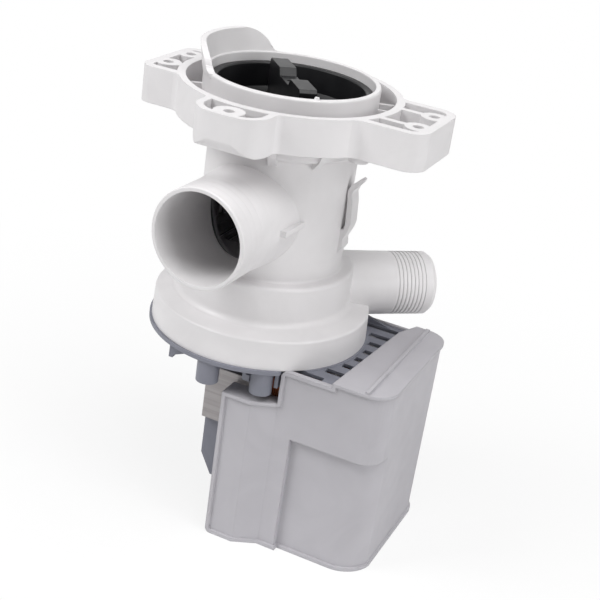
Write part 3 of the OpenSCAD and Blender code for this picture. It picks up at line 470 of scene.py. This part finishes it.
def wind_coil(name, node):
    """Copper turns side by side, in the place of one packed winding."""
    low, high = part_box(node)
    turns = round((high.x - low.x) / (TURN_MM * MM))
    pitch = (high.x - low.x) / turns
    width = pitch - TURN_GAP_MM * MM
    coil = start_box(name, low, Vector((low.x + width, high.y, high.z)))

    pick(coil, "FACE", lambda mesh, face: abs(face.normal.x) > 0.9)
    bpy.ops.mesh.inset(thickness=COIL_BUILD_MM * MM, use_boundary=True)
    bpy.ops.mesh.bridge_edge_loops()

    def border_gap(place):
        """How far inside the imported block's four long sides a point lies."""
        return min(place.y - low.y, high.y - place.y, place.z - low.z, high.z - place.z)

    def outer_corner(mesh, edge):
        """Is this one of the four long outer edges of the turn?"""
        a, b = edge_ends(mesh, edge)
        along_leg = abs(a.x - b.x) > width / 2
        y_gap = min(a.y - low.y, high.y - a.y)
        z_gap = min(a.z - low.z, high.z - a.z)
        return along_leg and max(y_gap, z_gap) < TINY

    corners = pick(coil, "EDGE", outer_corner)
    bpy.ops.mesh.bevel(offset=CORNER_MM * MM, segments=6, affect="EDGES")

    # A point on a round corner is at most 0.3 of its radius away from the box
    def outer_rim(mesh, edge):
        """Is this an edge round the outside of one of the turn's two faces?"""
        a, b = edge_ends(mesh, edge)
        on_one_side = abs(a.x - b.x) < TINY
        return on_one_side and max(border_gap(a), border_gap(b)) < 0.4 * CORNER_MM * MM

    rims = pick(coil, "EDGE", outer_rim)
    bpy.ops.mesh.bevel(offset=width * RIM_SHARE, segments=3, affect="EDGES")
    bpy.ops.object.mode_set(mode="OBJECT")

    row = coil.modifiers.new("turns", "ARRAY")
    row.count = turns
    row.use_relative_offset = False
    row.use_constant_offset = True
    row.constant_offset_displace = (pitch, 0, 0)
    bpy.ops.object.modifier_apply(modifier=row.name)
    bpy.ops.object.shade_smooth_by_angle(angle=math.radians(50))

    coil.data.materials.append(finishes["winding_copper"])
    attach(coil, "pump_body")
    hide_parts(node)
    print(name, turns, "turns,", corners, "corners,", rims, "rim edges,", len(coil.data.polygons), "faces")


wind_coil("front_coil", "front_winding")
wind_coil("rear_coil", "rear_winding")

# %% [markdown]
# ## The floor
# The pump stands on its drip cover on a plain pale floor.  Seen by the camera
# the floor is mostly a flat white, so that it runs into the background, with
# just enough of its lit surface left near the pump to keep the shadow.  To
# everything else it is an ordinary white surface that throws light back up.

# %% Floor
FLOOR_SIZE = 16.0
SHADOW_SHARE = 0.24
SHADOW_NEAR = 0.12
SHADOW_FAR = 0.40

bpy.ops.object.select_all(action="DESELECT")
bpy.ops.mesh.primitive_plane_add(size=FLOOR_SIZE, location=(0, 0, cad_low.z))
floor = bpy.context.active_object
floor.name = "studio_floor"
bpy.ops.object.transform_apply(location=True, rotation=True, scale=True)

floor_paint = bpy.data.materials.new("white_studio_paper")
floor_paint.use_nodes = True
paper = floor_paint.node_tree
paper.nodes.clear()
fibre = add_node(paper, "ShaderNodeTexNoise", {
    "Vector": object_place(paper),
    "Scale": 1 / (12 * MM),
    "Detail": 2.0,
})
lit = add_node(paper, "ShaderNodeBsdfDiffuse", {
    "Color": two_tones(paper, fibre.outputs["Fac"], "#f6f6f6", "#f1f1f1"),
})
flat_white = add_node(paper, "ShaderNodeEmission", {"Color": (1, 1, 1, 1), "Strength": 1.0})
ray = add_node(paper, "ShaderNodeLightPath")
from_middle = add_node(paper, "ShaderNodeVectorMath", {0: object_place(paper)}, operation="LENGTH")
white_share = add_node(paper, "ShaderNodeMapRange", {
    "Value": from_middle.outputs["Value"],
    "From Min": SHADOW_NEAR,
    "From Max": SHADOW_FAR,
    "To Min": 1 - SHADOW_SHARE,
    "To Max": 1.0,
}, interpolation_type="SMOOTHSTEP")
share = add_node(paper, "ShaderNodeMath", {
    0: ray.outputs["Is Camera Ray"],
    1: white_share.outputs["Result"],
}, operation="MULTIPLY")
blend = add_node(paper, "ShaderNodeMixShader", {
    0: share.outputs["Value"],
    1: lit.outputs["BSDF"],
    2: flat_white.outputs["Emission"],
})
add_node(paper, "ShaderNodeOutputMaterial", {"Surface": blend.outputs["Shader"]})
floor.data.materials.append(floor_paint)
print("floor at", round(cad_low.z * 1000, 1), "mm")

# %% [markdown]
# ## Soft studio light
# The portrait has one large soft light from the upper left, a weak one low on
# the right and a broad one high on the right.  The world adds an even glow.
# Rays from the camera and reflections see it as plain white, and the light that
# it gives the surfaces is kept lower so that the pale housing doesn't wash out.

# %% World
AMBIENT = 0.18

world = bpy.data.worlds.new("studio_world")
world.use_nodes = True
sky = world.node_tree
sky.nodes.clear()
ray = add_node(sky, "ShaderNodeLightPath")
seen = add_node(sky, "ShaderNodeMath", {
    0: ray.outputs["Is Camera Ray"],
    1: ray.outputs["Is Glossy Ray"],
}, operation="MAXIMUM")
seen_white = add_node(sky, "ShaderNodeMath", {
    0: seen.outputs["Value"],
    1: ray.outputs["Is Transmission Ray"],
}, operation="MAXIMUM")
strength = add_node(sky, "ShaderNodeMapRange", {
    "Value": seen_white.outputs["Value"],
    "To Min": AMBIENT,
    "To Max": 1.0,
})
glow = add_node(sky, "ShaderNodeBackground", {
    "Color": (1, 1, 1, 1),
    "Strength": strength.outputs["Result"],
})
add_node(sky, "ShaderNodeOutputWorld", {"Surface": glow.outputs["Background"]})
bpy.context.scene.world = world

# %% Lamps
middle = (cad_low + cad_high) / 2


def soft_light(name, place, size, watts):
    """A square area light that faces the middle of the pump, placed and sized in metres."""
    bpy.ops.object.light_add(type="AREA", location=place)
    light = bpy.context.active_object
    light.name = name
    light.data.shape = "SQUARE"
    light.data.size = size
    light.data.energy = watts
    light.rotation_mode = "QUATERNION"
    light.rotation_quaternion = (middle - Vector(place)).to_track_quat("-Z", "Y")


soft_light("key_light", (-0.80, -0.64, 0.88), 0.6, 12.3)
soft_light("fill_light", (1.05, -0.24, 0.24), 0.45, 3.4)
soft_light("top_light", (0.42, -0.24, 1.08), 0.8, 9.2)
print("three lamps round", [round(v * 1000) for v in middle])

# %% [markdown]
# ## The camera
# The portrait looks down on the pump by about 25 degrees, from a little to the
# right of the inlet spigot, and the camera is rolled so that the pump leans.
# The same numbers set the place: how far away the lens is, and how long it is.

# %% Camera
SENSOR_MM = 36.0
AZIMUTH = 21.5
ELEVATION = 24.588
ROLL = 8.643
LENS_MM = 74.48
CAMERA_PLACE = Vector((195.4, -459.2, 134.0)) * MM

camera_data = bpy.data.cameras.new("portrait_camera")
camera_data.lens = LENS_MM
camera_data.sensor_width = SENSOR_MM
camera_data.clip_start = 0.01
camera_data.clip_end = 50.0
camera = bpy.data.objects.new("portrait_camera", camera_data)
bpy.context.scene.collection.objects.link(camera)
turn = Matrix.Rotation(math.radians(AZIMUTH), 4, "Z")
tilt = Matrix.Rotation(math.radians(90 - ELEVATION), 4, "X")
lean = Matrix.Rotation(math.radians(ROLL), 4, "Z")
camera.matrix_world = Matrix.Translation(CAMERA_PLACE) @ turn @ tilt @ lean
bpy.context.scene.camera = camera
bpy.context.scene.view_settings.view_transform = "Standard"
print("camera", round((CAMERA_PLACE - middle).length * 1000), "mm from the middle of the pump")
